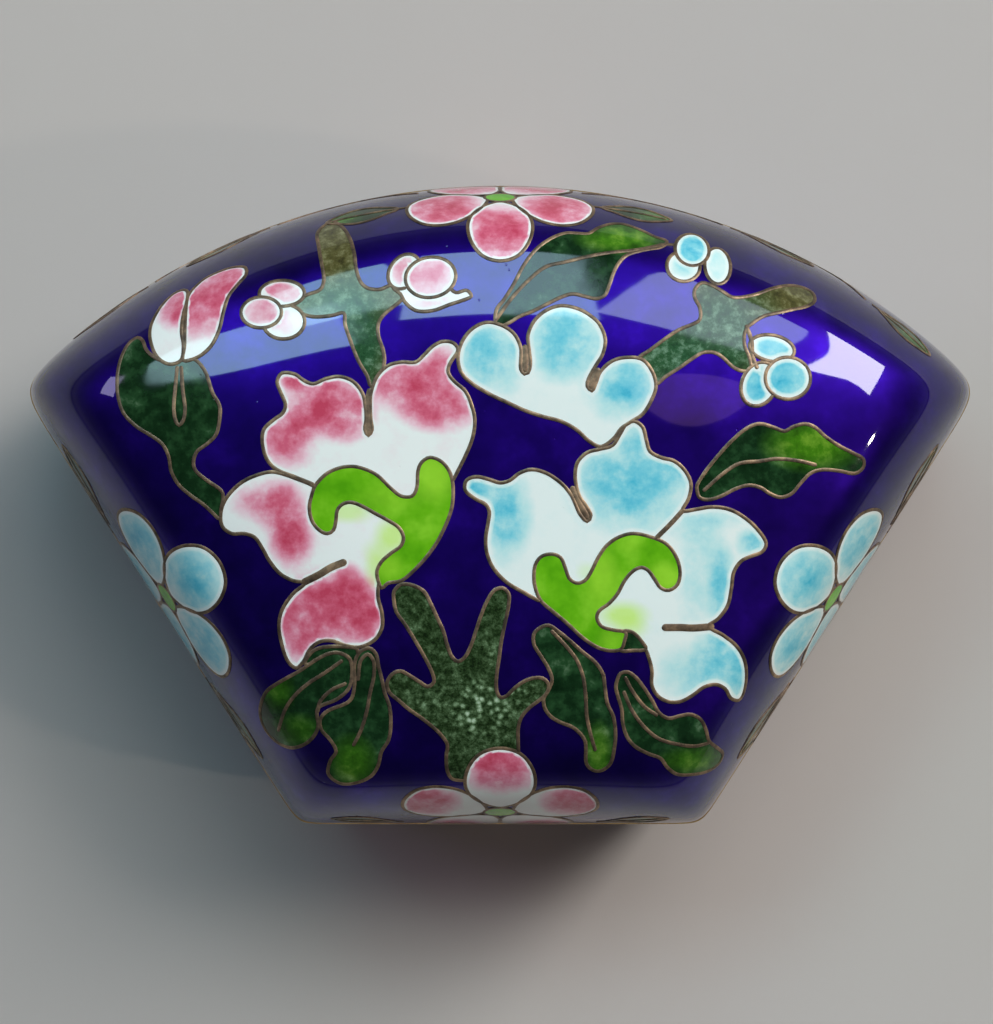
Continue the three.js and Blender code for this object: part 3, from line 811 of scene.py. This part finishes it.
pink_bud_tints = [
    (-27.2, 16.8, 1.5, 1.9, 0.75), (-24.6, 16.8, 2.6, 2.2, 0.8), (-22.6, 18.8, 1.7, 1.3, 0.8),
    (-25.2, 14.6, 1.2, 1, 0.3), (-19.9, 16, 1.8, 1.4, 0.42), (-18.2, 17.7, 1.9, 1.1, 0.48),
    (-17.8, 15, 1.2, 1, 0.15), (-5.8, 19, 2.2, 1.8, 0.38), (-5.4, 19.4, 1, 0.9, 0.2),
    (-8.1, 19.5, 1.2, 1.6, 0.4), (-6, 16.6, 1.6, 0.8, 0.15),
]
enamel("lid_pink_buds", "lid_shell", pink_buds, pink, lid_top, pink_bud_tints)
blue_buds = [
    (3, oval(16.1, 21.4, 1.45, 1.45)), (2, oval(15.3, 19.9, 1.4, 1.3)), (2, oval(18.2, 20, 1.1, 1.6)),
    (2, oval(22.6, 13, 1.9, 1.1, -10)), (4, oval(23.9, 10.5, 1.9, 1.75)), (3, oval(21.5, 10, 1.45, 1.9, -25)),
]
lid_wires.append((0.35, [(20.5, 14.8), (20.9, 13.6), (20.95, 12.4), (21.3, 11.4)]))
bare_wires += [("lid_shell", lid_top, width, path) for width, path in lid_wires]
blue_bud_tints = [
    (16.1, 21.4, 1.6, 1.6, 0.9), (18.3, 20, 1.2, 1.8, 0.22), (15, 19.6, 1.2, 1, 0.22),
    (22.8, 13, 2.2, 1.5, 0.7), (24, 10.6, 2.1, 2, 0.75), (21.4, 10, 1.8, 2.2, 0.75),
]
enamel("lid_blue_buds", "lid_shell", blue_buds, blue, lid_top, blue_bud_tints)

# --- Wall flowers ----------------------------------------------------------------------------------
# A five-petalled flower in the middle of each wall, pink at the back and front and turquoise at the
# sides, on the lid and again on the base, with a leaf to each hand. All are cells like the others.


def wall_chart(form, side):
    """A chart of one wall: how far along it from its middle, and how far up the surface."""
    ups, levels = form.climb()
    sine, cosine = math.sin(side_tilt), math.cos(side_tilt)
    aft = 8.6  # a side flower's place along its wall, from the middle of the plan
    side_middle = np.array([side_reach * cosine + aft * sine, aft * cosine - side_reach * sine])

    def chart(flat, lift):
        along, up = np.asarray(flat, float).T
        level = np.interp(up, ups, levels)
        if side == "back":
            turn = along / arc_radius
            out = arc_radius - level
            plan = np.stack([out * np.sin(turn), arc_centre + out * np.cos(turn)], axis=1)
        elif side == "front":
            plan = np.stack([along, front_edge + level], axis=1)
        else:
            way = np.array([sine, cosine])
            inward = np.array([-cosine, sine])
            plan = side_middle + along[:, None] * way + level[:, None] * inward
            if side == "left":
                plan = plan * [-1, 1]
        return form.surface(plan, lift)

    return chart


def both_sides(shape):
    """A shape that ends at its tip, and back along its other side."""
    return shape + [(out, -side) for out, side in reversed(shape[:-1])]


# A petal, widest near its tip, and a pointed leaf one millimetre long with its stalk and midrib.
wall_petal = both_sides([(1.3, 0.35), (2.2, 1.6), (3.6, 2.6), (5.2, 3), (6.9, 2.7), (8.2, 1.7), (8.7, 0)])
wall_leaf = both_sides([(0, 0.04), (0.15, 0.12), (0.35, 0.22), (0.6, 0.25), (0.85, 0.14), (1, 0)])
midrib = [(-0.15, 0), (0.1, 0), (0.5, 0), (0.9, 0)]

# The base's flowers are a little smaller, under the turn of its foot. Each wall: its name, whether its
# flower is pink, how far out the petals' colour lies and how wide, and its leaves: stalk, length, tilt.
side_leaves = [(9.4, -4, 7, 14), (8.6, -6.5, 6, -16), (-9.4, -4, 7, 166), (-8.6, -6.5, 6, 196)]
walls = [
    ("back", True, 5.8, 3.3, [(9.3, 0.6, 6.2, -4), (-9.3, 0.9, 6.4, 182), (36, -1.5, 6, 18), (22, -5, 7, 12),
                              (-22, -5, 7, 168), (-34, -5, 7, 190)]),
    ("front", True, 7.0, 2.6, [(9.4, -4, 5.5, 16), (-9.4, -4, 5.5, 164)]),
    ("left", False, 5.4, 3.4, side_leaves),
    ("right", False, 5.4, 3.4, side_leaves),
]
vines = [
    [(7.4, -4.2), (11, -6.4), (16, -6.6), (20, -5.4)],
    [(22, -5), (25, -7), (30, -7), (34.2, -2.2)],
    [(-7.4, -4.2), (-11, -6.2), (-15, -6.6), (-20, -5.4)],
    [(-22, -5), (-25, -7.4), (-29, -7.6), (-32, -5.4)],
]
heart_out = 5.6  # middle of a turquoise petal, where the powder lay thickest
for form, half, height, size in ((lid, "lid", 10.2, 0.98), (base, "base", 9.2, 0.85)):
    for side, rosy, out, spread, leaves in walls:
        chart = wall_chart(form, side)
        tilts = range(90, 450, 72)
        spots = [placed([(out, 0), (heart_out, 0)], 0, height, tilt, size) for tilt in tilts]
        tints = [(*spot[0], spread * size, spread * size, 0.9 if rosy else 0.6) for spot in spots]
        if not rosy:
            tints += [(*spot[1], 1, 1, 0.4) for spot in spots]
        outlines = [(4, placed(wall_petal, 0, height, tilt, size)) for tilt in tilts]
        enamel(f"{half}_{side}_flower", form.node, outlines,
               pink if rosy else blue, chart, tints)
        enamel(f"{half}_{side}_heart", form.node, [(5, oval(0, height, 1.4 * size, 1.1 * size))],
               lime, chart)
        sprigs = [[placed(part, size * x, height + y * size, tilt, length * size)
                   for part in (wall_leaf, midrib)] for x, y, length, tilt in leaves]
        enamel(f"{half}_{side}_leaves", form.node, [(1, line) for line, rib in sprigs], leaf,
               chart, [(*rib[-1], 2.2, 1.4, 0.5) for line, rib in sprigs])
        bare_wires += [(form.node, chart, cell_wire, rib) for line, rib in sprigs]
        if side == "back":
            bare_wires += [(form.node, chart, cell_wire, placed(vine, 0, height, 0, size)) for vine in vines]

# --- Wires -----------------------------------------------------------------------------------------
# Flat copper wire on edge, glued and then fired in, walls every cell. Stoned nearly flush, it shows
# as a brown line 0.3 mm wide, and up to 0.6 mm where solder fills a slit between two petals.

# Copper dulled to brown by firing, with a tan gleam where the stone last cut it.
copper, tree, shader, place = new_material("fired_copper_wire", metallic=0.6)
burnt = add(tree, "TexNoise", {"Vector": place, "Scale": 1 / 1.5, "Detail": 4.0, "Roughness": 0.7})
tone = add(tree, "ValToRGB", {"Fac": burnt}, [(0.35, "#4e4338"), (0.5, "#75614e"), (0.7, "#a98c6e")])
handle(tree, shader, place, 0.8, 0.32, 0.55, tone)
cut = add(tree, "TexNoise", {"Vector": place, "Scale": 1 / 0.3, "Detail": 2.0})
rough = add(tree, "Bump", {"Height": cut, "Strength": 0.3, "Distance": 0.03 * MM})
tree.links.new(rough, shader.inputs["Normal"])


def ribbon(path, closed, chart, width):
    """A length of wire on its chart, stoned to a low crown: points and faces of a closed body."""
    half = width / 2
    narrowing = np.ones(len(path))
    if not closed:
        # The snipped ends are rounded over, in three short steps.
        turns = np.radians([80, 55, 25])
        head, tail = path[0] - path[1], path[-1] - path[-2]
        head, tail = head / np.linalg.norm(head), tail / np.linalg.norm(tail)
        path = np.vstack([[path[0] + head * half * math.sin(turn) for turn in turns], path,
                          [path[-1] + tail * half * math.sin(turn) for turn in turns[::-1]]])
        narrowing = np.concatenate([np.cos(turns), narrowing, np.cos(turns[::-1])])
    centre, normals = chart(path, 0.0)
    if closed:
        along = np.roll(centre, -1, axis=0) - np.roll(centre, 1, axis=0)
    else:
        along = np.gradient(centre, axis=0)
    aside = np.cross(normals, along)
    aside *= (narrowing / np.linalg.norm(aside, axis=1))[:, None]
    root, edge, crown = -0.2, 0.045, 0.075
    left = [(-half, root), (-half, edge), (-half / 2, crown)]
    section = left + [(-side, up) for side, up in reversed(left)]
    points = np.stack([centre + aside * side + normals * up for side, up in section], axis=1)
    count, around = len(path), len(section)
    faces = []
    for i in range(count if closed else count - 1):
        a, b = i * around, (i + 1) % count * around
        faces += [[a + k, b + k, b + (k + 1) % around, a + (k + 1) % around] for k in range(around)]
    if not closed:
        faces += [list(range(around))[::-1], list(range((count - 1) * around, count * around))]
    points = points.reshape(-1, 3)
    return points, outward(points, faces)


def showing(line, plan, node, layer, shortest=3):
    """The runs of a cell's wire that no higher cell covers, and whether the wire closes on itself."""
    hidden = np.zeros(len(line), bool)
    for owner, _, other_layer, _, other_plan in cells:
        if owner == node and other_layer > layer:
            hidden |= inside(other_plan, plan)
    if not hidden.any():
        return [(line, True)]
    start = int(np.argmax(hidden))
    line, hidden = np.roll(line, -start, axis=0), np.roll(hidden, -start)
    changes = np.flatnonzero(np.diff(hidden)) + 1
    return [(run, False) for run, covered in zip(np.split(line, changes), np.split(hidden, changes))
            if not covered[0] and len(run) > shortest]


for node, name in (("lid_shell", "lid_wires"), ("base_shell", "base_wires")):
    points, faces = [], []
    lines = [(run, closed, chart, cell_wire) for owner, chart, layer, line, plan in cells if owner == node
             for run, closed in showing(line, plan, node, layer)]
    lines += [(smooth(path, closed=False), False, chart, width)
              for owner, chart, width, path in bare_wires if owner == node]
    for path, closed, chart, width in lines:
        more_points, more_faces = ribbon(path, closed, chart, width)
        faces += [[i + len(points) for i in face] for face in more_faces]
        points += more_points.tolist()
    make_piece(name, points, faces, node, copper)
    # Each point of the enamel learns how far the nearest wire is, up to a few millimetres.
    nearest, farthest = KDTree(len(points)), 3.0
    for i, point in enumerate(points):
        nearest.insert(point, i)
    nearest.balance()
    for piece in bpy.data.objects:
        if "tint" in getattr(piece.data, "attributes", {}) and node in piece["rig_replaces"]:
            wire = piece.data.attributes.new("wire", "FLOAT", "POINT")
            away = [min(farthest, nearest.find(vertex.co / MM)[2]) for vertex in piece.data.vertices]
            wire.data.foreach_set("value", away)

# --- Setting ---------------------------------------------------------------------------------------
# A pale matt sheet, a big window-like softbox behind, smaller lamps, and a camera straight above.

floor_mesh = bpy.data.meshes.new("floor")
far = 8  # metres to each edge of the sheet
floor_mesh.from_pydata([(-far, -far, 0), (far, -far, 0), (far, far, 0), (-far, far, 0)], [], [(0, 1, 2, 3)])
floor = bpy.data.objects.new("floor", floor_mesh)
bpy.context.collection.objects.link(floor)
# Matt pale grey paper, smooth to the eye, with the least unevenness in how it takes the light.
paper, tree, shader, place = new_material("pale_paper", ior=1.5)
shader.inputs["Base Color"].default_value = linear("#bcb5b0")
handle(tree, shader, place, 8.0, 0.82, 0.95)
floor_mesh.materials.append(paper)


def lamp(name, place, size, energy, colour, turn=0, shape="RECTANGLE", shine=True):
    """A flat lamp that faces the box, turned about its own axis by an angle in degrees."""
    light = bpy.data.lights.new(name, "AREA")
    light.shape = shape
    light.size, light.size_y = size
    light.energy = energy
    light.color = linear(colour)[:3]
    holder = bpy.data.objects.new(name, light)
    holder.visible_glossy = shine
    holder.location = place
    facing = (Vector((0, 0, 0.03)) - Vector(place)).to_track_quat("-Z", "Y")
    holder.rotation_euler = (facing @ Quaternion((0, 0, 1), math.radians(turn))).to_euler()
    bpy.context.collection.objects.link(holder)


lamp("left_pane", (-0.38, 0.44, 1.0), (0.40, 0.26), 1.9, "#b6e2ec", turn=-22)
lamp("middle_pane", (0.0, 0.70, 1.0), (0.26, 0.42), 2.1, "#b6dcee")
lamp("upper_pane", (-0.245, 0.70, 1.0), (0.2, 0.3), 1.1, "#b4e8ec")
lamp("right_pane", (0.34, 0.66, 1.0), (0.3, 0.42), 1.9, "#ccdcec")
lamp("bright_pane", (0.75, 0.585, 0.89), (0.36, 0.8), 12, "#f8f6f2", turn=20)
lamp("left_window", (-1.2, 0.45, 0.95), (0.4, 0.34), 1.8, "#dcd4ff")
lamp("curtain", (0.20, 0.17, 1.0), (0.15, 0.2), 0.06, "#e0a0e8", shape="ELLIPSE")
lamp("bulb", (1.0, -0.28, 1.0), (0.06, 0.06), 1.4, "#fff2e2", shape="ELLIPSE")
lamp("ceiling", (0.25, 0.5, 1.1), (0.5, 0.5), 2, "#fff4e4", shine=False)

world = bpy.data.worlds.new("room")
bpy.context.scene.world = world
world.use_nodes = True
tree = world.node_tree
tree.nodes["Background"].inputs["Strength"].default_value = 0.6
up = add(tree, "SeparateXYZ", {"Vector": add(tree, "TexCoord")}, out="Z")
room = add(tree, "ValToRGB", {"Fac": up},
           [(0.0, "#8c8a88"), (0.15, "#5a5a60"), (0.4, "#2c2c34"), (1.0, "#1c1c24")])
tree.links.new(room, tree.nodes["Background"].inputs["Color"])

scene = bpy.context.scene
scene.view_settings.view_transform = "Standard"

camera_data = bpy.data.cameras.new("camera")
camera_data.lens = 119.4
camera_data.sensor_width = 36
camera = bpy.data.objects.new("camera", camera_data)
camera.location = (-0.00031, -0.00062, 0.319)
bpy.context.collection.objects.link(camera)
scene.camera = camera
